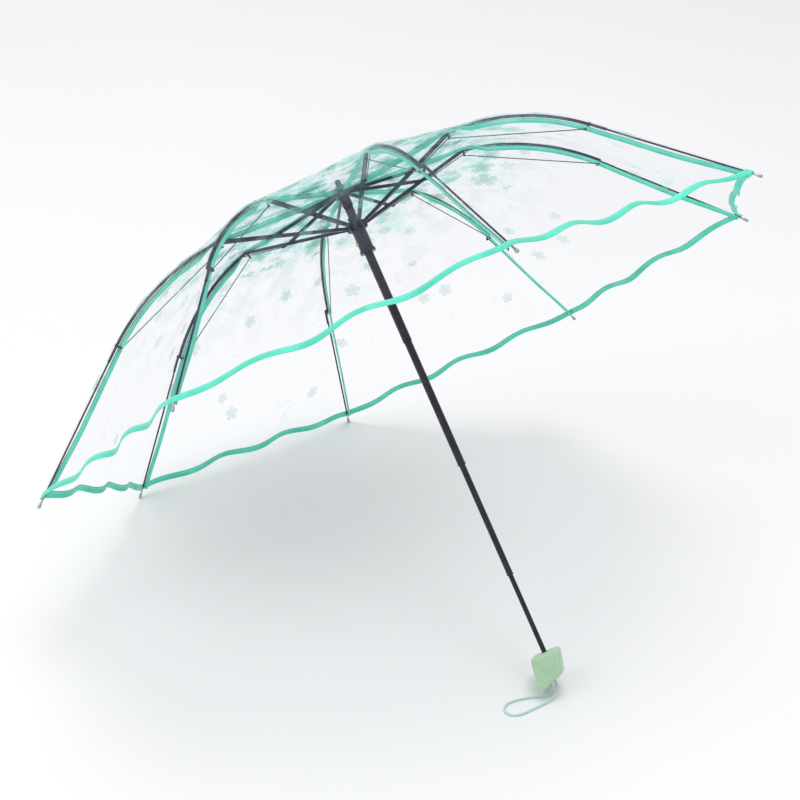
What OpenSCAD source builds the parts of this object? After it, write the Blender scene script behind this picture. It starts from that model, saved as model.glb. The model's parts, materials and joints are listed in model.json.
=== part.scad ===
// Three-fold compact umbrella with eight jointed ribs and a clear film canopy,
// standing open on two rib tips and the edge of its handle.
// Each rib is drawn in its own plane: first number outwards from the shaft,
// second number along the shaft, zero at the level of the canopy's corners.

/* [Canopy] */
// Radius of the canopy's corners
corner_r = 476; // [470:1:482]
// Height of the flat crown above the corners
crown_z = 212; // [211:0.5:214]
// Radius where the flat crown starts to bend down
crown_r = 166; // [160:1:170]
// Radius where the bend ends and the straight skirt starts
bend_r = 330; // [328:1:332]
// Height where the bend ends
bend_z = 137; // [135:1:139]
// Rise of the bend above its chord
bend_rise = 14; // [12:0.5:15]
// Thickness of the film solid
film_t = 0.3; // [0.2:0.1:0.8]
// How far the hem curves inwards between two corners, as a share of the radius
hem_scoop = 0.03; // [0:0.01:0.05]

/* [Shaft] */
// Outer diameters of the four tubes, from the top one to the bottom one
tube_od = [11, 9.4, 7.6, 6]; // [5:0.1:12]
// Wall of each tube
tube_wall = 0.74; // [0.6:0.02:0.8]
// Height of the lower end of each tube
tube_end = [9.5, -154, -298, -398]; // [-400:0.5:12]
// Length of each tube that stays inside the one above
tube_lap = 30; // [24:1:34]

/* [Runner] */
// Height of the runner's rib wire
runner_z = 166; // [164:1:168]
// Length of the runner
runner_len = 48; // [44:1:52]
// Diameter of the runner's sleeve
runner_d = 17.5; // [17:0.5:18]

/* [Ribs] */
// Height of a rib's flat bars
bar_h = 4; // [3.6:0.1:4.2]
// Width of the single bars in the middle of a rib
bar_w = 2; // [1.6:0.1:2]
// Thickness of the stretcher's two cheeks
cheek_t = 0.7; // [0.6:0.1:0.8]
// Diameter of the two thin link wires
wire_d = 1.2; // [1:0.1:1.2]
// Diameter of the outer rib's rod
rod_d = 2.2; // [2:0.1:2.4]
// Distance along the stretcher from the runner to the top rib's joint
cross_len = 93; // [90:1:95]

/* [Handle] */
// Side of the square handle
handle_w = 36; // [34:1:38]
// Length of the handle
handle_len = 40; // [38:1:42]
// Radius of the handle's rounded edges
handle_round = 5; // [4:0.5:6]
// How far the handle's lower end leans to its long side
handle_shift = 5; // [3:0.5:6]
// How much shorter the handle is on its other side
handle_slant = 9; // [6:1:10]
// Diameter of the wrist cord
cord_d = 2.4; // [2:0.1:2.6]

/* [Hidden] */
RIBS = 8;
RIB_PARTS = ["top_rib", "stretcher", "control_link", "mid_rib", "wire_link", "outer_rib"];
$fn = 32;

steel = [0.18, 0.16, 0.21];
bright_steel = [0.72, 0.74, 0.75];
plastic = [0.13, 0.12, 0.16];
pale_green = [0.71, 0.83, 0.73];
aqua = [0.74, 0.90, 0.88];
clear_mint = [0.75, 0.95, 0.90, 0.35];

// Pivots of one rib in its plane
notch_pin = [9, 210];
runner_pin = [10, runner_z];
mid_pin = [crown_r - 0.5, crown_z - 4];
outer_pin = [bend_r - 2.7, bend_z - 3];
tip = [corner_r + 4, -8];
tip_r = 2.2;
function unit(a, b) = (b - a) / norm(b - a);
function turn(a, b) = atan2(b[1] - a[1], b[0] - a[0]);
function polar(d, a) = d * [cos(a), sin(a)];
cross_pin = runner_pin + cross_len * unit(runner_pin, mid_pin);
control_in = cross_pin + polar(10, turn(notch_pin, cross_pin) + 10);
control_out = mid_pin + polar(10, -9);
wire_in = mid_pin + [-2, -7];
wire_out = outer_pin + polar(6, -135);

// Sideways places of the pieces of one rib
gap = 0.3;
cheek_y = bar_w / 2 + gap + cheek_t / 2;
link_y = bar_w / 2 + gap + cheek_t + 0.1 + wire_d / 2;
rod_y = bar_w / 2 + gap + rod_d / 2;
eye_r = 2.3;
pin_r = 0.8;
pin_bore = 0.85;
small_pin = 0.5;
small_bore = 0.56;
small_eye = 1.4;
rivet_r = 1.5;
rivet_t = 0.35;

// Circle through two points with a given rise
function arc_radius(a, b, rise) = (pow(norm(b - a) / 2, 2) + rise * rise) / (2 * rise);
function arc_centre(a, b, rise) =
    let (u = unit(a, b), n = [-u[1], u[0]]) (a + b) / 2 + (rise - arc_radius(a, b, rise)) * n;

// Seam line of the canopy: flat crown, bend, straight skirt
crown_edge = [crown_r, crown_z];
bend_edge = [bend_r, bend_z];
bend_c = arc_centre(crown_edge, bend_edge, bend_rise);
bend_R = arc_radius(crown_edge, bend_edge, bend_rise);
BEND_STEPS = 8;
function on_bend(f) =
    let (a0 = turn(bend_c, crown_edge), a1 = turn(bend_c, bend_edge))
    bend_c + polar(bend_R, a0 + f * (a1 - a0));
function mix(a, b, f) = a + f * (b - a);
corner = [corner_r, -0.4];
hole_edge = [6, crown_z + 2.6];
seam = concat(
    [for (f = [0:0.34:1]) mix(hole_edge, crown_edge, f)],
    [for (i = [0:BEND_STEPS]) on_bend(i / BEND_STEPS)],
    [for (f = [0.25:0.25:1]) mix(bend_edge, corner, f)]);
last = len(seam) - 1;

// How the whole umbrella stands: on the tips of two ribs and the handle's lower corner
half_step = 180 / RIBS;
tip_m = tip[0] * cos(half_step);
handle_top = tube_end[3];
handle_end = handle_top - handle_len;
block_in = handle_w / 2 - handle_round;
edge_m = (2 * block_in + handle_shift) * cos(45);
edge_z = handle_end + handle_round;
lean_a = tip_m - edge_m;
lean_b = tip[1] - edge_z;
lean = atan2(lean_b, lean_a) + asin((handle_round - tip_r) / norm([lean_a, lean_b]));
spin = 135 + half_step;
function forward(m, z) = m * cos(lean) + z * sin(lean);
front = max([for (p = seam) forward(p[0] * cos(half_step), p[1])]);
back = forward(-tip_m, tip[1]) - tip_r;
floor_z = -tip_m * sin(lean) + tip[1] * cos(lean) - tip_r;
middle_y = (front + back) / 2;

module stand() {
    translate([0, -middle_y, -floor_z]) rotate([-lean, 0, 0]) rotate([0, 0, spin]) children();
}
module rib_plane(k) {
    stand() rotate([0, 0, (k - 1) * 360 / RIBS]) children();
}
// A flat plate in the rib's plane, w wide, centred at y
module plate(y, w) {
    translate([0, y, 0]) rotate([90, 0, 0]) linear_extrude(w, center = true) children();
}
module pin(at, r, y0, y1) {
    translate([at[0], y1, at[1]]) rotate([90, 0, 0]) cylinder(r = r, h = y1 - y0, $fn = 24);
}
module disc(at, r) {
    translate(at) circle(r, $fn = 24);
}
module strip(a, b, h) {
    translate(a) rotate(turn(a, b)) translate([0, -h / 2]) square([norm(b - a), h]);
}
module rod(a, b, r, y) {
    translate([a[0], y, a[1]]) rotate([0, 90 - turn(a, b), 0]) cylinder(r = r, h = norm(b - a), $fn = 16);
}
module pipe(r_out, r_in, z0, z1) {
    translate([0, 0, z0]) difference() {
        cylinder(r = r_out, h = z1 - z0);
        translate([0, 0, -1]) cylinder(r = r_in, h = z1 - z0 + 2);
    }
}
module wire_ring(r, z, wire_r) {
    translate([0, 0, z]) rotate_extrude() translate([r, 0]) circle(wire_r, $fn = 16);
}
// A slotted flange with the wire that threads the eight ribs
module rib_flange(core_r, out_r, wire_at, z0, z1, slot_w) {
    difference() {
        translate([0, 0, z0]) cylinder(r = out_r, h = z1 - z0);
        for (k = [0:RIBS - 1]) rotate([0, 0, k * 360 / RIBS])
            translate([core_r, -slot_w / 2, z0 - 1]) cube([out_r, slot_w, z1 - z0 + 2]);
    }
    wire_ring(wire_at[0], wire_at[1], 0.6);
}

// Telescoping tube number i, counted from the top, with its crimped lower end
module tube(i) {
    r = tube_od[i] / 2;
    bore = r - tube_wall;
    top = i == 0 ? crown_z - 6 : tube_end[i - 1] + tube_lap;
    crimp = 3;
    color(steel) stand() {
        pipe(r, bore, tube_end[i], top);
        if (i > 0 && i < 3) pipe(r + 0.35, r - 0.05, tube_end[i], tube_end[i] + crimp);
    }
}
notch_top = crown_z + 2.2;
module top_notch() {
    color(plastic) stand() difference() {
        union() {
            rib_flange(6.6, 12, notch_pin, crown_z - 6, crown_z - 0.4, 4.6);
            translate([0, 0, crown_z - 6]) cylinder(r = 6.6, h = notch_top - crown_z + 6);
            pipe(6.5, tube_od[0] / 2, crown_z - 20, crown_z - 5.9);
        }
        translate([0, 0, crown_z - 10]) cylinder(r = 1.2, h = 20);
    }
}
module crown_cap() {
    base = crown_z + 2.8;
    color(plastic) stand() {
        translate([0, 0, crown_z - 8]) cylinder(r = 1.15, h = 11, $fn = 48);
        translate([0, 0, notch_top]) cylinder(r = 4.5, h = base - notch_top + 0.1);
        translate([0, 0, base]) cylinder(r = 11, h = 1.6);
        translate([0, 0, base + 1.6]) cylinder(r1 = 9.5, r2 = 5.5, h = 4, $fn = 48);
        translate([0, 0, base + 5.6]) cylinder(r = 3.5, h = 5);
        translate([0, 0, base + 10.6]) sphere(r = 3.5);
    }
}
module runner() {
    z_top = runner_z + 12;
    z_end = z_top - runner_len;
    bore = tube_od[0] / 2 + 0.08;
    color(plastic) stand() difference() {
        union() {
            translate([0, 0, z_end]) cylinder(d = runner_d, h = runner_z - 5 - z_end);
            translate([0, 0, z_end]) cylinder(r = runner_d / 2 + 1.3, h = 4);
            translate([0, 0, runner_z - 6]) cylinder(r = 7.4, h = 18);
            rib_flange(7.4, 13, runner_pin, runner_z - 5, runner_z + 4, 4.8);
        }
        translate([0, 0, z_end - 1]) cylinder(r = bore, h = runner_len + 2);
        translate([bore - 1, 0, button_z()]) rotate([0, 90, 0]) cylinder(r = 3.06, h = 10);
    }
}
function button_z() = runner_z - 22;
module release_button() {
    color(pale_green) stand() translate([0, 0, button_z()]) rotate([0, 90, 0]) {
        translate([0, 0, 7.3]) cylinder(r = 3, h = 2.4);
        translate([0, 0, 9.7]) cylinder(r1 = 3, r2 = 2.4, h = 0.6, $fn = 48);
    }
}
plug_w = 20;
plug_z = handle_end + 7;
// The handle's own directions: x towards its long side, y across
module handle_frame() {
    stand() rotate([0, 0, -half_step]) children();
}
module handle() {
    color(pale_green) handle_frame() difference() {
        hull() for (x = [-1, 1]) for (y = [-1, 1]) {
            translate([x * block_in, y * block_in, handle_top - handle_round]) sphere(r = handle_round);
            translate([x * block_in + handle_shift, y * block_in, edge_z + (1 - x) / 2 * handle_slant])
                sphere(r = handle_round);
        }
        translate([handle_shift - plug_w / 2, -plug_w / 2, handle_end - 1]) cube([plug_w, plug_w, 11]);
        translate([0, 0, handle_top - 27]) cylinder(d = tube_od[3], h = 40);
    }
}
module handle_plug() {
    w = plug_w - 0.4;
    color(plastic) handle_frame() translate([handle_shift - w / 2, -w / 2, plug_z]) cube([w, w, 3]);
}

module top_rib(k) {
    color(steel) rib_plane(k) {
        difference() {
            plate(0, bar_w) {
                strip(notch_pin, cross_pin, bar_h);
                strip(cross_pin, control_in, 2.6);
                disc(notch_pin, 2);
                disc(cross_pin, eye_r);
                disc(control_in, small_eye);
            }
            pin(notch_pin, pin_bore, -5, 5);
        }
        pin(control_in, small_pin, 0, link_y + wire_d / 2 + 0.2);
    }
}
module stretcher(k) {
    u = unit(runner_pin, mid_pin);
    web_end = runner_pin + 62 * u;
    web_start = runner_pin + 8 * u;
    down = [u[1], -u[0]] * (bar_h / 2 - 0.35);
    color(steel) rib_plane(k) {
        difference() {
            for (s = [-1, 1]) plate(s * cheek_y, cheek_t) {
                strip(runner_pin, mid_pin, bar_h);
                disc(runner_pin, 2.2);
                disc(mid_pin, eye_r);
                if (s < 0) strip(mid_pin, wire_in, 2.6);
                if (s < 0) disc(wire_in, small_eye);
            }
            pin(runner_pin, pin_bore, -5, 5);
            pin(mid_pin, pin_bore, -5, 5);
        }
        plate(0, 2 * cheek_y) strip(web_start + down, web_end + down, 0.7);
        for (s = [-1, 1]) pin(cross_pin, rivet_r, s > 0 ? cheek_y : -cheek_y - cheek_t / 2 - rivet_t,
                              s > 0 ? cheek_y + cheek_t / 2 + rivet_t : -cheek_y);
        pin(wire_in, small_pin, -link_y - wire_d / 2 - 0.2, -cheek_y);
    }
}
// A thin wire with a flat eye at its driven end and a plain eye at the other
module link_wire(a, b, y) {
    difference() {
        union() {
            rod(a, b, wire_d / 2, y);
            plate(y, wire_d) disc(a, small_eye);
            plate(y, wire_d) disc(b, small_eye);
        }
        pin(a, small_bore, y - 2, y + 2);
    }
}
module control_link(k) {
    color(bright_steel) rib_plane(k) link_wire(control_in, control_out, link_y);
}
module wire_link(k) {
    color(bright_steel) rib_plane(k) link_wire(wire_in, wire_out, -link_y);
}
rib_R = bend_R - 4;
module mid_rib(k) {
    a0 = turn(bend_c, mid_pin);
    a1 = turn(bend_c, outer_pin);
    far = 2 * rib_R;
    color(steel) rib_plane(k) {
        difference() {
            plate(0, bar_w) {
                difference() {
                    translate(bend_c) circle(rib_R + bar_h / 2 - 0.2, $fn = 180);
                    translate(bend_c) circle(rib_R - bar_h / 2 + 0.2, $fn = 180);
                    translate(bend_c) rotate(a0) translate([-far, 0]) square([2 * far, far]);
                    translate(bend_c) rotate(a1) translate([-far, -far]) square([2 * far, far]);
                }
                disc(mid_pin, eye_r - 0.3);
                disc(outer_pin, eye_r - 0.3);
                strip(mid_pin, control_out, 2.4);
                disc(control_out, small_eye);
            }
        }
        pin(mid_pin, pin_r, -cheek_y - cheek_t / 2 - 0.1, cheek_y + cheek_t / 2 + 0.1);
        for (s = [-1, 1]) pin(mid_pin, rivet_r,
                              s > 0 ? cheek_y + cheek_t / 2 + 0.06 : -cheek_y - cheek_t / 2 - 0.4,
                              s > 0 ? cheek_y + cheek_t / 2 + 0.4 : -cheek_y - cheek_t / 2 - 0.06);
        pin(outer_pin, pin_r, 0, rod_y + rod_d / 2 + 0.3);
        pin(control_out, small_pin, 0, link_y - wire_d / 2 - 0.15);
    }
}
module outer_rib(k) {
    u = unit(outer_pin, tip);
    socket = outer_pin + 22 * u;
    color(steel) rib_plane(k) {
        difference() {
            union() {
                plate(rod_y, rod_d) {
                    disc(outer_pin, eye_r);
                    strip(outer_pin, wire_out, 2.4);
                    disc(wire_out, small_eye);
                }
                rod(outer_pin, socket, 1.65, rod_y + 0.6);
                rod(outer_pin, tip, rod_d / 2, rod_y);
            }
            pin(outer_pin, pin_bore, 0, 10);
        }
        pin(wire_out, small_pin, -link_y + wire_d / 2 + 0.15, rod_y);
    }
    color(bright_steel) rib_plane(k) {
        rod(tip - 4 * u, tip, 1.8, rod_y);
        translate([tip[0], rod_y, tip[1]]) sphere(r = tip_r);
    }
}

// Canopy: rings of points along the seam, straight across each panel
COLS = 4;
function seam_down(i, d) =
    let (a = seam[max(i - 1, 0)], b = seam[min(i + 1, last)], u = unit(a, b)) seam[i] + d * [u[1], -u[0]];
function scoop(i, f) =
    let (share = max(0, (seam[i][0] - bend_r) / (corner_r - bend_r))) 1 - hem_scoop * 4 * f * (1 - f) * share * share;
function film_point(i, j, d) =
    let (k = floor(j / COLS), f = j / COLS - k, a = k * 360 / RIBS, b = (k + 1) * 360 / RIBS,
         p = seam_down(i, d), r = p[0] * scoop(i, f))
    [r * mix(cos(a), cos(b), f), r * mix(sin(a), sin(b), f), p[1]];
module canopy() {
    around = COLS * RIBS;
    rings = last + 1;
    outer = [for (i = [0:last]) for (j = [0:around - 1]) film_point(i, j, 0)];
    inner = [for (i = [0:last]) for (j = [0:around - 1]) film_point(i, j, film_t)];
    under = rings * around;
    function at(i, j) = i * around + j % around;
    faces = concat(
        [for (i = [0:last - 1]) for (j = [0:around - 1]) each
            [[at(i, j), at(i + 1, j), at(i + 1, j + 1)], [at(i, j), at(i + 1, j + 1), at(i, j + 1)],
             [under + at(i, j), under + at(i + 1, j + 1), under + at(i + 1, j)],
             [under + at(i, j), under + at(i, j + 1), under + at(i + 1, j + 1)]]],
        [for (j = [0:around - 1]) each
            [[at(0, j), at(0, j + 1), under + at(0, j + 1)], [at(0, j), under + at(0, j + 1), under + at(0, j)],
             [at(last, j), under + at(last, j + 1), at(last, j + 1)],
             [at(last, j), under + at(last, j), under + at(last, j + 1)]]]);
    color(clear_mint) stand() polyhedron(concat(outer, inner), faces);
}

// Wrist cord: out of the plug, down to the ground, round in a loop and back into the plug
cord_route = [
    [-6, -299, 18.8], [-6, -303, 15], [-7, -306, 10.5], [-10, -307, 6], [-16, -305, 2.8],
    [-24, -300, 1.3], [-33, -295.5, 1.3], [-42, -292, 1.3], [-52, -289.5, 1.3], [-61, -288.5, 1.3],
    [-68, -290.5, 1.3], [-73, -295, 1.3], [-74, -301, 1.3], [-70.5, -307, 1.3], [-63, -311, 1.3],
    [-54, -312.5, 1.3], [-44, -313, 1.3], [-34, -313.5, 1.3], [-25, -314, 1.3], [-17, -314, 2],
    [-10.5, -313.5, 4.6], [-5.5, -312.5, 8.8], [-2.5, -310, 13.4], [-1.4, -306.5, 17.4], [-1.4, -302.2, 21.6]];
SIDES = 8;
function along(i) = unit(cord_route[max(i - 1, 0)], cord_route[min(i + 1, len(cord_route) - 1)]);
function cord_ring(i) =
    let (t = along(i), s = unit([0, 0, 0], cross(t, [0.31, 0.2, 1])), u = cross(s, t))
    [for (j = [0:SIDES - 1]) cord_route[i] + cord_d / 2 * (cos(j * 360 / SIDES) * s + sin(j * 360 / SIDES) * u)];
module wrist_cord() {
    n = len(cord_route);
    points = [for (i = [0:n - 1]) each cord_ring(i)];
    sides = [for (i = [0:n - 2]) for (j = [0:SIDES - 1]) let (a = i * SIDES + j, b = i * SIDES + (j + 1) % SIDES)
        each [[a, b, b + SIDES], [a, b + SIDES, a + SIDES]]];
    ends = [[for (j = [SIDES - 1:-1:0]) j], [for (j = [0:SIDES - 1]) (n - 1) * SIDES + j]];
    color(aqua) polyhedron(points, concat(sides, ends));
}

tube(0);  // upper_tube
tube(1);  // second_tube
tube(2);  // third_tube
tube(3);  // lower_tube
top_notch();
crown_cap();
canopy();
runner();
release_button();
handle();
handle_plug();
wrist_cord();
for (k = [1:RIBS]) {
    top_rib(k);
    stretcher(k);
    control_link(k);
    mid_rib(k);
    wire_link(k);
    outer_rib(k);
}
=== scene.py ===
import json
import math
import bpy
from mathutils import Matrix, Vector


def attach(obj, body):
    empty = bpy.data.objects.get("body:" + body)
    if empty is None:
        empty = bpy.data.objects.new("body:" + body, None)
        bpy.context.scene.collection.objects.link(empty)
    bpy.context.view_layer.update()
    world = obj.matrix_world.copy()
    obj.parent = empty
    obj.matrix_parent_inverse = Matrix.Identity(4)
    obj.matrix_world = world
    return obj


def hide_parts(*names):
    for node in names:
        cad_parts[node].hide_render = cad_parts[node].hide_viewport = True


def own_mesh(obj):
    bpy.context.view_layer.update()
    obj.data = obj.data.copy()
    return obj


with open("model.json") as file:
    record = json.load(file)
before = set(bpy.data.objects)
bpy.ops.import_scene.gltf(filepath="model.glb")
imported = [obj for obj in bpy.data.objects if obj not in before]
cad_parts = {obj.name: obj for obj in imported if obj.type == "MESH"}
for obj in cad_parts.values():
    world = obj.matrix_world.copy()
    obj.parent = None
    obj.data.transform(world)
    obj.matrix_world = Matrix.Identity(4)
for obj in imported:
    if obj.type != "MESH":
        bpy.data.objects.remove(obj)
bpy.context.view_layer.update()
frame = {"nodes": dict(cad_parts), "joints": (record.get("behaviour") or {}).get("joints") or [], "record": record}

# ---------------------------------------------------------------- camera and cord
CAMERA_AT = Vector((-1.2472, -1.2914, 1.3100))
CAMERA_VIEW = Vector((0.5953, 0.6230, -0.5074))
CAMERA_RIGHT = Vector((0.7557, -0.6488, 0.0898))


def make_camera():
    data = bpy.data.cameras.new("camera")
    data.sensor_width = 36.0
    data.lens = 75.8
    data.clip_end = 60.0
    data.dof.use_dof = False
    cam = bpy.data.objects.new("camera", data)
    bpy.context.scene.collection.objects.link(cam)
    back = -CAMERA_VIEW.normalized()
    up = back.cross(CAMERA_RIGHT).normalized()
    right = up.cross(back)
    turn = Matrix((right, up, back)).transposed()
    cam.matrix_world = Matrix.Translation(CAMERA_AT) @ turn.to_4x4()
    bpy.context.scene.camera = cam


make_camera()

# The wrist cord's route, as in the CAD source, in millimetres
CORD_ROUTE = [
    (-6, -299, 18.8), (-6, -303, 15), (-7, -306, 10.5), (-10, -307, 6), (-16, -305, 2.8),
    (-24, -300, 1.3), (-33, -295.5, 1.3), (-42, -292, 1.3), (-52, -289.5, 1.3), (-61, -288.5, 1.3),
    (-68, -290.5, 1.3), (-73, -295, 1.3), (-74, -301, 1.3), (-70.5, -307, 1.3), (-63, -311, 1.3),
    (-54, -312.5, 1.3), (-44, -313, 1.3), (-34, -313.5, 1.3), (-25, -314, 1.3), (-17, -314, 2),
    (-10.5, -313.5, 4.6), (-5.5, -312.5, 8.8), (-2.5, -310, 13.4), (-1.4, -306.5, 17.4), (-1.4, -302.2, 21.6),
]
CORD_D = 0.0024


# ---------------------------------------------------------------- material helpers
class Nodes:
    """A new material and short ways to wire its nodes."""

    def __init__(self, name):
        self.material = bpy.data.materials.new(name)
        self.material.use_nodes = True
        self.tree = self.material.node_tree
        self.shader = self.tree.nodes["Principled BSDF"]
        self.output = self.tree.nodes["Material Output"]

    def put(self, socket, value):
        if isinstance(value, bpy.types.NodeSocket):
            self.tree.links.new(value, socket)
        elif value is not None:
            socket.default_value = value

    def set(self, **values):
        for name, value in values.items():
            self.put(self.shader.inputs[name.replace("_", " ")], value)

    def new(self, kind, **settings):
        n = self.tree.nodes.new("ShaderNode" + kind)
        for name, value in settings.items():
            setattr(n, name, value)
        return n

    def math(self, operation, a, b=None, c=None, clamp=False):
        n = self.new("Math", operation=operation, use_clamp=clamp)
        for socket, value in zip(n.inputs, (a, b, c)):
            self.put(socket, value)
        return n.outputs[0]

    def vector(self, operation, a, b=None):
        n = self.new("VectorMath", operation=operation)
        self.put(n.inputs[0], a)
        self.put(n.inputs[1], b)
        return n.outputs["Value"] if operation in ("LENGTH", "DISTANCE", "DOT_PRODUCT") else n.outputs[0]

    def ramp(self, value, low, high, a=0.0, b=1.0):
        n = self.new("MapRange", interpolation_type="SMOOTHSTEP")
        for socket, v in zip(n.inputs, (value, low, high, a, b)):
            self.put(socket, v)
        return n.outputs[0]

    def mix(self, share, a, b):
        n = self.new("Mix", data_type="RGBA")
        self.put(n.inputs[0], share)
        self.put(n.inputs[6], a)
        self.put(n.inputs[7], b)
        return n.outputs[2]

    def noise(self, where, scale, detail=3.0, rough=0.5, dims="3D"):
        n = self.new("TexNoise", noise_dimensions=dims)
        self.put(n.inputs["Vector"], where)
        self.put(n.inputs["Scale"], scale)
        self.put(n.inputs["Detail"], detail)
        self.put(n.inputs["Roughness"], rough)
        return n.outputs[0]

    def place(self):
        return self.new("TexCoord").outputs["Object"]

    def stretched(self, where, scale):
        return self.vector("MULTIPLY", where, scale)

    def bump(self, height, strength, distance=0.001):
        n = self.new("Bump")
        n.inputs["Strength"].default_value = strength
        n.inputs["Distance"].default_value = distance
        self.put(n.inputs["Height"], height)
        self.set(Normal=n.outputs[0])


def painted_metal(name, dark, light, metal, rough):
    """Lacquered steel: fine orange peel, light handling marks and a little dust."""
    m = Nodes(name)
    where = m.place()
    cloud = m.noise(where, 60, 4)
    scratch = m.noise(m.stretched(where, (900, 900, 120)), 1, 2)
    m.set(Base_Color=m.mix(m.ramp(cloud, 0.35, 0.75), dark, light), Metallic=metal, IOR=1.5)
    m.set(Roughness=m.math("MULTIPLY_ADD", m.ramp(scratch, 0.3, 0.8), 0.14, rough))
    m.bump(m.noise(where, 1400, 2), 0.08, 0.0002)
    return m


SHAFT_DARK, SHAFT_LIGHT = (0.018, 0.016, 0.026, 1), (0.034, 0.030, 0.046, 1)
WIRE_DARK, WIRE_LIGHT = (0.05, 0.06, 0.09, 1), (0.12, 0.13, 0.17, 1)
shaft_steel = painted_metal("shaft steel", SHAFT_DARK, SHAFT_LIGHT, 0.35, 0.22).material
wire_steel = painted_metal("wire steel", WIRE_DARK, WIRE_LIGHT, 0.85, 0.28).material


def rib_steel(name, tip=None):
    """Dark blued rib steel; an outer rib is bare steel for the last 15 mm before its tip."""
    m = painted_metal(name, (0.010, 0.014, 0.032, 1), (0.026, 0.033, 0.066, 1), 0.45, 0.26)
    if tip is not None:
        near = m.ramp(m.vector("DISTANCE", m.place(), tuple(tip)), 0.0135, 0.0155, 1.0, 0.0)
        colour = m.shader.inputs["Base Color"].links[0].from_socket
        m.set(Base_Color=m.mix(near, colour, (0.42, 0.43, 0.45, 1)))
        m.set(Metallic=m.math("MULTIPLY_ADD", near, 0.55, 0.45))
    return m.material


def moulded_plastic():
    m = Nodes("dark moulded plastic")
    where = m.place()
    cloud = m.ramp(m.noise(where, 90, 3), 0.4, 0.7)
    m.set(Base_Color=m.mix(cloud, (0.014, 0.016, 0.036, 1), (0.026, 0.028, 0.056, 1)))
    m.set(Roughness=m.ramp(m.noise(where, 400, 2), 0.3, 0.8, 0.24, 0.38), IOR=1.5)
    m.bump(m.noise(where, 2200, 3), 0.15, 0.0002)
    return m.material


def handle_plastic():
    """Pale green block, slightly milky, with soft mottling."""
    m = Nodes("pale green plastic")
    where = m.place()
    cloud = m.noise(where, 45, 5, 0.6)
    grain = m.noise(where, 1500, 3)
    m.set(Base_Color=m.mix(m.ramp(cloud, 0.3, 0.75), (0.37, 0.58, 0.38, 1), (0.47, 0.66, 0.46, 1)))
    m.set(Roughness=m.ramp(grain, 0.3, 0.8, 0.34, 0.48), Subsurface_Weight=0.25, Subsurface_Scale=0.006)
    m.shader.inputs["Subsurface Radius"].default_value = (0.6, 1.0, 0.7)
    m.bump(grain, 0.12, 0.0003)
    return m.material


def braid(name):
    """Round braided cord: crossing strands from a wave each way, with painted shade in the grooves between them
    and a painted highlight on their crests.
    """
    m = Nodes(name)
    sep = m.new("SeparateXYZ")
    m.put(sep.inputs[0], m.place())
    run = m.math("ADD", sep.outputs[0], m.math("MULTIPLY", sep.outputs[1], 0.6))
    rise = m.math("ADD", sep.outputs[1], m.math("MULTIPLY", sep.outputs[2], 0.8))
    one = m.math("SINE", m.math("MULTIPLY", m.math("ADD", run, rise), 5200.0))
    two = m.math("SINE", m.math("MULTIPLY", m.math("SUBTRACT", run, rise), 5200.0))
    weave = m.math("MULTIPLY_ADD", m.math("MAXIMUM", one, two), 0.5, 0.5)
    # painted shade and highlight: darker where the strands dip, paler on their crests
    m.set(Base_Color=m.mix(weave, (0.34, 0.62, 0.58, 1), (0.56, 0.84, 0.80, 1)), Roughness=0.62)
    m.set(Sheen_Weight=0.3, Sheen_Roughness=0.4)
    m.bump(weave, 0.6, 0.0003)
    return m.material


def binding_tape():
    """Woven polyester edge tape: ribbed weave, a stitch line and slightly glossy yarn, with the weave's crests
    painted paler as a highlight.
    """
    m = Nodes("mint binding")
    sep = m.new("SeparateXYZ")
    m.put(sep.inputs[0], m.new("UVMap").outputs[0])
    along, across = sep.outputs[0], sep.outputs[1]
    ribs = m.math("MULTIPLY_ADD", m.math("SINE", m.math("MULTIPLY", along, 7000.0)), 0.5, 0.5)
    yarn = m.math("MULTIPLY_ADD", m.math("SINE", m.math("MULTIPLY", across, 9000.0)), 0.5, 0.5)
    weave = m.math("MULTIPLY", ribs, yarn)
    beat = m.math("MULTIPLY_ADD", m.math("SINE", m.math("MULTIPLY", along, 2094.0)), 0.5, 0.5)
    dash = m.ramp(beat, 0.25, 0.4)
    line = m.ramp(m.math("ABSOLUTE", m.math("SUBTRACT", across, 0.0022)), 0.0003, 0.0005, 1.0, 0.0)
    stitch = m.math("MULTIPLY", line, dash)
    tone = m.noise(m.place(), 35, 3)
    base = m.mix(m.ramp(tone, 0.3, 0.75), (0.035, 0.62, 0.43, 1), (0.10, 0.80, 0.60, 1))
    # painted highlight: the weave's crests are mixed towards a paler mint
    painted_yarn_highlight = m.mix(m.math("MULTIPLY", weave, 0.35), base, (0.30, 0.93, 0.80, 1))
    m.set(Base_Color=m.mix(stitch, painted_yarn_highlight, (0.42, 0.94, 0.84, 1)))
    m.set(Roughness=m.math("MULTIPLY_ADD", weave, -0.15, 0.55), Sheen_Weight=0.25, Sheen_Roughness=0.35)
    m.bump(m.math("MULTIPLY_ADD", stitch, 2.0, weave), 0.45, 0.0003)
    return m.material


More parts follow.
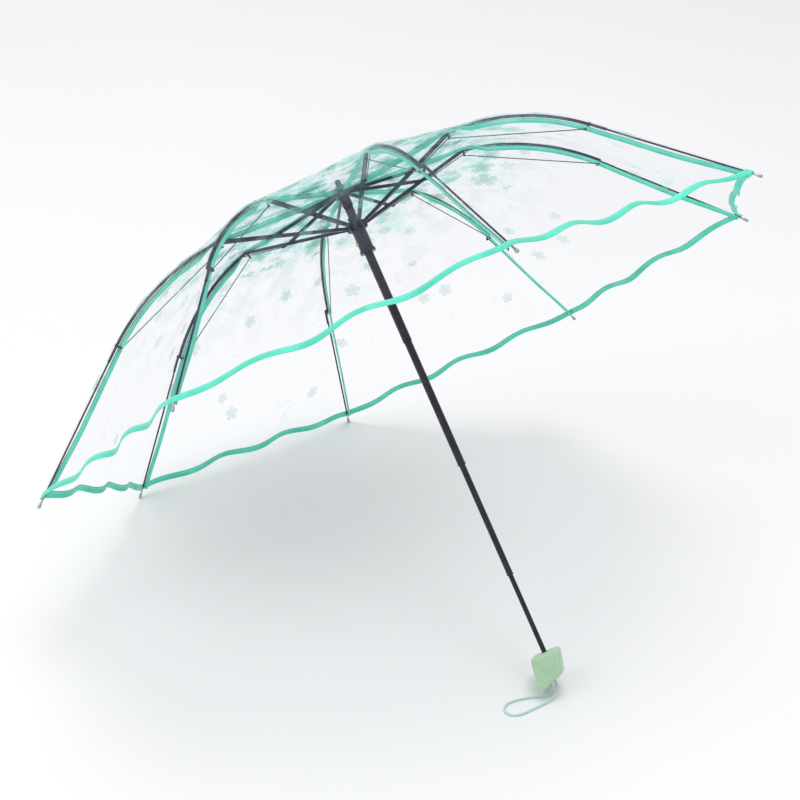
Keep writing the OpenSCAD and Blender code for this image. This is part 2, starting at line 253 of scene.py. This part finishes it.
def flowers(m, where, from_crown, scale, shift, size, full, bare):
    """One layer of five-petal blossoms: which points are petal, and how near each is to its blossom's
    heart. The layer is complete up to full metres from the crown and ends at bare."""
    point = m.vector("ADD", m.stretched(where, (scale, scale, 0)), shift)
    cells = m.new("TexVoronoi", voronoi_dimensions="2D", feature="F1")
    m.put(cells.inputs["Vector"], point)
    cells.inputs["Scale"].default_value = 1.0
    cells.inputs["Randomness"].default_value = 0.62
    luck = m.new("SeparateColor")
    m.put(luck.inputs[0], cells.outputs["Color"])
    local = m.new("SeparateXYZ")
    m.put(local.inputs[0], m.vector("SUBTRACT", point, cells.outputs["Position"]))
    bearing = m.math("ARCTAN2", local.outputs[1], local.outputs[0])
    turned = m.math("MULTIPLY_ADD", luck.outputs[0], 6.283, bearing)
    lobe = m.math("ABSOLUTE", m.math("COSINE", m.math("MULTIPLY", turned, 2.5)))
    notch = m.ramp(lobe, 0.93, 1.0, 0.0, 0.13)
    reach = m.math("SUBTRACT", m.math("MULTIPLY_ADD", m.math("POWER", lobe, 0.55), 0.62, 0.38), notch)
    radius = m.math("MULTIPLY", m.math("MULTIPLY_ADD", luck.outputs[1], 0.3, 0.7), size)
    out = m.math("DIVIDE", cells.outputs["Distance"], radius)
    petal = m.ramp(m.math("SUBTRACT", reach, out), 0.0, 0.09)
    there = m.math("LESS_THAN", luck.outputs[2], m.ramp(from_crown, full, bare, 1.0, 0.0))
    return m.math("MULTIPLY", petal, there), m.ramp(out, 0.0, 0.75, 1.0, 0.0)


SHADOW_COVER = 0.36


def clear_film():
    """Clear film with a mint blossom print: dense round the crown, single blossoms further out."""
    m = Nodes("clear printed film")
    where = m.new("UVMap").outputs[0]
    crown = m.vector("LENGTH", where)
    big, heart = flowers(m, where, crown, 24.0, (3.3, 7.1, 0), 0.50, 0.13, 0.30)
    small, _ = flowers(m, where, crown, 40.0, (11.7, 2.9, 0), 0.46, 0.10, 0.26)
    lone, lone_heart = flowers(m, where, crown, 15.0, (5.2, 1.4, 0), 0.20, 0.20, 0.52)
    paint = m.noise(where, 26.0, 5, 0.6, "2D")
    wash = m.math("MULTIPLY", m.ramp(crown, 0.13, 0.27, 1.0, 0.0), m.ramp(paint, 0.30, 0.72, 0.35, 1.0))
    mist = m.math("MULTIPLY", m.ramp(crown, 0.22, 0.42, 1.0, 0.0), m.ramp(paint, 0.40, 0.66))
    clusters = m.math("MAXIMUM", big, m.math("MULTIPLY", small, 0.7))
    petals = m.math("MAXIMUM", clusters, m.math("MULTIPLY", lone, 0.75))
    centre = m.math("MULTIPLY", petals, m.math("MAXIMUM", heart, lone_heart))
    ink = m.math("ADD", m.math("MULTIPLY", petals, 0.36), m.math("MULTIPLY", wash, 0.42))
    ink = m.math("ADD", ink, m.math("MULTIPLY", mist, 0.20))
    # creases left from folding: thin soft lines, partly real crease scatter and partly a painted highlight, where
    # the film is made more opaque so that it shows as pale streaks
    fold = m.noise(m.stretched(where, (9.0, 9.0, 0)), 1.0, 4, 0.55, "2D")
    ridge = m.ramp(m.math("ABSOLUTE", m.math("SUBTRACT", fold, 0.5)), 0.0, 0.012, 1.0, 0.0)
    crease_and_highlight = m.math("MULTIPLY", ridge, m.ramp(m.noise(where, 14.0, 2, 0.5, "2D"), 0.52, 0.72))
    rim = m.new("LayerWeight")
    rim.inputs["Blend"].default_value = 0.2
    body = m.math("MULTIPLY", rim.outputs["Facing"], 0.13)
    # the crease lines' share of the cover paints pale highlight streaks along them
    cover = m.math("ADD", m.math("ADD", ink, body), m.math("MULTIPLY", crease_and_highlight, 0.16), clamp=True)
    # the film dims a lamp's light more than it dims what is seen through it
    lamp = m.new("LightPath").outputs["Is Shadow Ray"]
    cover = m.math("ADD", cover, m.math("MULTIPLY", lamp, SHADOW_COVER), clamp=True)
    washed = m.mix(m.math("MULTIPLY", wash, 1.6, clamp=True), (0.72, 0.80, 0.92, 1), (0.16, 0.93, 0.90, 1))
    misted = m.mix(m.math("MULTIPLY", mist, 0.8, clamp=True), washed, (0.34, 0.80, 0.66, 1))
    print_colour = m.mix(centre, (0.18, 0.80, 0.66, 1), (0.02, 0.42, 0.34, 1))
    m.set(Base_Color=m.mix(petals, misted, print_colour), Roughness=0.12, IOR=1.5)
    m.bump(m.math("ADD", m.noise(where, 18.0, 3, 0.5, "2D"), m.math("MULTIPLY", crease_and_highlight, 0.5)), 0.25, 0.003)
    clear = m.new("BsdfTransparent")
    clear.inputs["Color"].default_value = (0.985, 0.986, 0.988, 1)
    both = m.new("MixShader")
    m.put(both.inputs[0], cover)
    m.put(both.inputs[1], clear.outputs[0])
    m.put(both.inputs[2], m.shader.outputs[0])
    m.put(m.output.inputs["Surface"], both.outputs[0])
    return m.material


FILM = clear_film()
TAPE = binding_tape()

# ---------------------------------------------------------------- the umbrella's own directions
joints = {j["name"]: j for j in frame["joints"]}
RIBS = 8
STEP = 2 * math.pi / RIBS
UP = Vector(joints["runner_slide"]["axis"]).normalized()
elbows = [Vector(joints[f"outer_rib_{k}_fold"]["pos_m"]) for k in range(1, RIBS + 1)]
elbow_ring = sum(elbows, Vector()) / RIBS
ELBOW_Z = 0.134
ORIGIN = elbow_ring - ELBOW_Z * UP
EAST = (elbows[0] - elbow_ring).normalized()
NORTH = UP.cross(EAST)


def outward(turn):
    """Unit direction from the shaft at turn radians round from rib 1."""
    return math.cos(turn) * EAST + math.sin(turn) * NORTH


def rib_point(k, r, z, side=0.0):
    """Point in rib k's plane (k from 0), r from the shaft and z along it, side metres across."""
    e = outward(k * STEP)
    return ORIGIN + r * e + z * UP + side * UP.cross(e)


# ---------------------------------------------------------------- canopy shape
CROWN_IN, CROWN_EDGE, BEND_EDGE, CORNER = (0.006, 0.2146), (0.166, 0.212), (0.330, 0.137), (0.476, -0.0004)
BEND_RISE = 0.014
HEM_SCOOP = 0.034
RUFFLE_OUT, RUFFLE_ALONG = 0.0045, 0.0020
PANEL_WAVES = [3.4, 3.1, 3.6, 3.3, 3.0, 3.5, 3.2, 3.6]
PANEL_START = [0.1, 0.55, 0.35, 0.8, 0.05, 0.6, 0.25, 0.7]


def between(a, b, f):
    return tuple(x + f * (y - x) for x, y in zip(a, b))


def bend_circle():
    (ax, az), (bx, bz) = CROWN_EDGE, BEND_EDGE
    half = math.hypot(bx - ax, bz - az) / 2
    radius = (half * half + BEND_RISE**2) / (2 * BEND_RISE)
    ux, uz = (bx - ax) / (2 * half), (bz - az) / (2 * half)
    away = BEND_RISE - radius
    centre = ((ax + bx) / 2 - away * uz, (az + bz) / 2 + away * ux)
    start = math.atan2(az - centre[1], ax - centre[0])
    end = math.atan2(bz - centre[1], bx - centre[0])
    return centre, radius, start, end


BEND_C, BEND_R, BEND_A, BEND_B = bend_circle()


def seam(s):
    """(r, z) along the seam line: 0 to 1 over the crown, 1 to 2 round the bend, 2 to 3 down the skirt."""
    if s <= 1:
        return between(CROWN_IN, CROWN_EDGE, s)
    if s <= 2:
        a = BEND_A + (s - 1) * (BEND_B - BEND_A)
        return BEND_C[0] + BEND_R * math.cos(a), BEND_C[1] + BEND_R * math.sin(a)
    return between(BEND_EDGE, CORNER, s - 2)


def seam_tangent(s):
    a, b = seam(max(s - 0.01, 0)), seam(min(s + 0.01, 3))
    d = math.hypot(b[0] - a[0], b[1] - a[1])
    return (b[0] - a[0]) / d, (b[1] - a[1]) / d


CROWN_LEN = math.dist(CROWN_IN, CROWN_EDGE)
BEND_LEN = BEND_R * abs(BEND_B - BEND_A)
SKIRT_LEN = math.dist(BEND_EDGE, CORNER)


def seam_length(s):
    """Metres along the film from the shaft to s."""
    return CROWN_IN[0] + min(s, 1) * CROWN_LEN + max(0, min(s, 2) - 1) * BEND_LEN + max(0, s - 2) * SKIRT_LEN


def film(panel, f, s, off=0.0):
    """Point of the film: panel from rib number panel to the next, f from 0 to 1 across it, s along the seam,
    off metres outwards from the film. The hem is scooped between the ribs and ruffled by its tape."""
    r, z = seam(s)
    tr, tz = seam_tangent(s)
    share = max(0.0, s - 2)
    dip = 4 * f * (1 - f)
    r *= 1 - HEM_SCOOP * dip * share * share
    a, b = outward(panel * STEP), outward((panel + 1) * STEP)
    p = ORIGIN + r * ((1 - f) * a + f * b) + z * UP
    e = ((1 - f) * a + f * b).normalized()
    normal = -tz * e + tr * UP
    tangent = tr * e + tz * UP
    phase = 2 * math.pi * (PANEL_WAVES[panel] * f + PANEL_START[panel])
    hold = math.sin(math.pi * f) ** 0.5 if 0 < f < 1 else 0.0
    wave = hold * share**3
    slack = 0.004 * dip * math.sin(math.pi * min(max(s - 0.9, 0) / 2.1, 1))
    p += (RUFFLE_OUT * wave * math.sin(phase) - slack + off) * normal
    return p + RUFFLE_ALONG * wave * math.cos(phase * 1.03) * tangent


def print_place(panel, f, s):
    """Where a point of the film lies on the flat print, in metres round the crown."""
    a, b = outward(panel * STEP), outward((panel + 1) * STEP)
    e = (1 - f) * a + f * b
    d = seam_length(s)
    return d * e.dot(EAST), d * e.dot(NORTH)


def grid_object(name, rows, uvs, material):
    """A mesh from rows of points, with a UV map in metres."""
    high, wide = len(rows), len(rows[0])
    mesh = bpy.data.meshes.new(name)
    faces = [
        (i * wide + j, (i + 1) * wide + j, (i + 1) * wide + j + 1, i * wide + j + 1)
        for i in range(high - 1)
        for j in range(wide - 1)
    ]
    mesh.from_pydata([tuple(p) for row in rows for p in row], [], faces)
    layer = mesh.uv_layers.new(name="print")
    flat = [uv for row in uvs for uv in row]
    for loop in mesh.loops:
        layer.data[loop.index].uv = flat[loop.vertex_index]
    mesh.polygons.foreach_set("use_smooth", [True] * len(mesh.polygons))
    mesh.materials.append(material)
    mesh.update()
    obj = bpy.data.objects.new(name, mesh)
    bpy.context.scene.collection.objects.link(obj)
    return obj


# Where the crown film meets the middle film and that meets the outer film. Both lines bow towards the hem between
# the ribs, and each piece rides on its own rib.
def crown_line(w):
    return 1 + 0.17 * w


def elbow_line(w):
    return 2 + 0.19 * w


def film_patch(name, k, side, w0, w1, start, end, across, down):
    """Film beside rib k (from 0): side 1 or -1, w from 0 on the rib to 1 in the middle of the panel,
    start and end give s for a w."""
    panel = k if side > 0 else (k - 1) % RIBS
    rows, uvs = [], []
    for i in range(down + 1):
        row, uv = [], []
        for j in range(across + 1):
            w = w0 + (w1 - w0) * j / across
            f = w / 2 if side > 0 else 1 - w / 2
            s = start(w) + (end(w) - start(w)) * i / down
            row.append(film(panel, f, s))
            uv.append(print_place(panel, f, s))
        if side < 0:
            row.reverse()
            uv.reverse()
        rows.append(row)
        uvs.append(uv)
    obj = grid_object(name, rows, uvs, FILM)
    return obj


HALF_CHORD = math.sin(STEP / 2)


def crown_fold(obj, k):
    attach(obj, f"top_rib_{k + 1}")
    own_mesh(obj)


def make_canopy():
    first = None
    for k in range(RIBS):
        for side in (1, -1):
            for half in (0, 1):
                name = f"crown_film_{k + 1}_{'abcd'[(2 if side > 0 else 1) + (half if side > 0 else -half)]}"
                piece = film_patch(name, k, side, half / 2, (half + 1) / 2, lambda w: 0.0, crown_line, 4, 10)
                crown_fold(piece, k)
                first = first or piece
            word = "right" if side > 0 else "left"
            middle = film_patch(f"middle_film_{k + 1}_{word}", k, side, 0, 1, crown_line, elbow_line, 10, 12)
            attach(middle, f"mid_rib_{k + 1}")
            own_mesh(middle)
            outer = film_patch(f"outer_film_{k + 1}_{word}", k, side, 0, 1, elbow_line, lambda w: 3.0, 24, 14)
            hem = hem_tape(k, side, word)
            for piece in (outer, hem):
                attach(piece, f"outer_rib_{k + 1}")
                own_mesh(piece)
        seam_tapes(k)
    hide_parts("canopy")


HEM_W, HEM_T = 0.0088, 0.0005


def hem_tape(k, side, word):
    """Folded tape over the film's edge: up one face, round the edge and up the other."""
    panel = k if side > 0 else (k - 1) % RIBS
    profile = [
        (HEM_W, HEM_T * 0.6), (HEM_W * 0.97, HEM_T), (HEM_W * 0.5, HEM_T * 1.15),
        (0.0006, HEM_T * 1.1), (-0.0004, HEM_T * 0.6), (-0.0006, 0.0),
        (-0.0004, -HEM_T * 0.6), (0.0006, -HEM_T * 1.1), (HEM_W * 0.5, -HEM_T * 1.15),
        (HEM_W * 0.97, -HEM_T), (HEM_W, -HEM_T * 0.6),
    ]
    steps = 40
    rows, uvs = [], []
    for up, off in profile:
        row, uv = [], []
        for j in range(steps + 1):
            w = j / steps
            f = w / 2 if side > 0 else 1 - w / 2
            row.append(film(panel, f, 3 - up / SKIRT_LEN, off))
            uv.append((w * CORNER[0] * HALF_CHORD, HEM_W - up))
        rows.append(row)
        uvs.append(uv)
    obj = grid_object(f"hem_tape_{k + 1}_{word}", rows, uvs, TAPE)
    return obj


SEAM_T = 0.0006


def seam_tape(name, k, start, end, steps, clear, depth, aside):
    """A seam's allowance stands inwards from the film beside the rib: clear film down to clear(s), then mint
    tape folded over its edge, down to depth(s). aside(s) is how far it lies to the rib's side."""
    rows, uvs = [], []
    profile = [
        (0.0, 0.0, 0.0), (1.0, 0.0, 0.0), (1.0, 0.0, 1.0), (1.0, 0.5, 1.1), (1.0, 0.93, 1.0),
        (1.0, 1.0, 0.4), (1.0, 1.0, -0.4), (1.0, 0.93, -1.0), (1.0, 0.5, -1.1), (1.0, 0.0, -1.0),
    ]
    for allowance, share, across in profile:
        row, uv = [], []
        for i in range(steps + 1):
            s = start + (end - start) * i / steps
            r, z = seam(s)
            tr, tz = seam_tangent(s)
            d = clear(s) * allowance + (depth(s) - clear(s)) * share
            side = aside(s) * min(1.0, d / 0.002) + SEAM_T * across
            row.append(rib_point(k, r + tz * d, z - tr * d, side))
            uv.append((seam_length(s), 0.0062 * share))
        rows.append(row)
        uvs.append(uv)
    obj = grid_object(name, rows, uvs, TAPE)
    obj.data.materials.append(FILM)
    for face in obj.data.polygons[:steps]:
        face.material_index = 1
    return obj


def step(x, low, high):
    t = min(max((x - low) / (high - low), 0.0), 1.0)
    return t * t * (3 - 2 * t)


def seam_tapes(k):
    n = k + 1
    crown = seam_tape(
        f"crown_seam_{n}", k, 0.03, 1.0, 14,
        lambda s: 0.0012,
        lambda s: 0.0072 - 0.0030 * step(s, 0.75, 1.0),
        lambda s: -0.0028 * step(s, 0.6, 0.85),
    )
    crown_fold(crown, k)
    middle = seam_tape(
        f"middle_seam_{n}", k, 1.0, 2.0, 18,
        lambda s: 0.0012 + 0.0052 * step(s, 1.05, 1.2),
        lambda s: 0.0042 + 0.0078 * step(s, 1.02, 1.2),
        lambda s: -0.0028 + 0.0012 * step(s, 1.05, 1.25),
    )
    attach(middle, f"mid_rib_{n}")
    outer = seam_tape(
        f"outer_seam_{n}", k, 2.0, 2.975, 18,
        lambda s: 0.0064 - 0.0034 * step(s, 2.5, 2.97),
        lambda s: 0.0120 - 0.0035 * step(s, 2.5, 2.97),
        lambda s: -0.0016 + 0.0012 * step(s, 2.0, 2.2),
    )
    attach(outer, f"outer_rib_{n}")


make_canopy()


# ---------------------------------------------------------------- wrist cord
def make_cord():
    curve = bpy.data.curves.new("wrist_cord_line", "CURVE")
    curve.dimensions = "3D"
    curve.bevel_depth = CORD_D / 2
    curve.bevel_resolution = 4
    curve.resolution_u = 6
    curve.use_fill_caps = True
    line = curve.splines.new("BEZIER")
    line.bezier_points.add(len(CORD_ROUTE) - 1)
    for point, at in zip(line.bezier_points, CORD_ROUTE):
        point.co = Vector(at) / 1000
        point.handle_left_type = point.handle_right_type = "AUTO"
    obj = bpy.data.objects.new("braided_cord", curve)
    bpy.context.scene.collection.objects.link(obj)
    curve.materials.append(braid("braided cord"))
    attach(obj, "lower_tube")
    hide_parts("wrist_cord")


make_cord()

# ---------------------------------------------------------------- the CAD nodes' materials
plastic, green = moulded_plastic(), handle_plastic()
dark_rib = rib_steel("rib steel")
by_slot = {"shaft_steel": shaft_steel, "rib_steel": dark_rib, "wire_steel": wire_steel,
           "dark_plastic": plastic, "handle_plastic": green}
TIP, ROD_SIDE = (0.480, -0.008), 0.0024
for part in frame["record"]["subparts"]:
    name, slot = part["node"], part.get("material_slot")
    if slot not in by_slot:
        continue
    material = by_slot[slot]
    if name.startswith("outer_rib_"):
        k = int(name.rsplit("_", 1)[1]) - 1
        material = rib_steel(f"outer rib steel {k + 1}", rib_point(k, *TIP, ROD_SIDE))
    mesh = frame["nodes"][name].data
    mesh.materials.clear()
    mesh.materials.append(material)


# ---------------------------------------------------------------- floor and light
def make_floor():
    m = Nodes("studio floor")
    cloud = m.noise(m.place(), 1.5, 2)
    m.set(Base_Color=m.mix(cloud, (0.86, 0.86, 0.87, 1), (0.89, 0.89, 0.90, 1)), Roughness=0.65)
    bpy.ops.mesh.primitive_plane_add(size=40, location=(0, 0, -0.0004))
    floor = bpy.context.object
    floor.name = "floor"
    floor.data.materials.append(m.material)


def area_light(name, at, target, size, power):
    data = bpy.data.lights.new(name, "AREA")
    data.shape = "DISK"
    data.size = size
    data.energy = power
    light = bpy.data.objects.new(name, data)
    light.location = at
    light.rotation_euler = (Vector(target) - Vector(at)).to_track_quat("-Z", "Y").to_euler()
    bpy.context.scene.collection.objects.link(light)


make_floor()
area_light("key", (0.2, 0.2, 6.0), (0, 0, 0), 3.0, 142)
area_light("left fill", (-3.4, 0.6, 3.0), (0, 0, 0), 2.4, 32)
world = bpy.data.worlds.new("studio")
world.use_nodes = True
world.node_tree.nodes["Background"].inputs["Color"].default_value = (1.0, 1.0, 1.01, 1)
world.node_tree.nodes["Background"].inputs["Strength"].default_value = 0.69
bpy.context.scene.world = world
bpy.context.scene.view_settings.view_transform = "Standard"
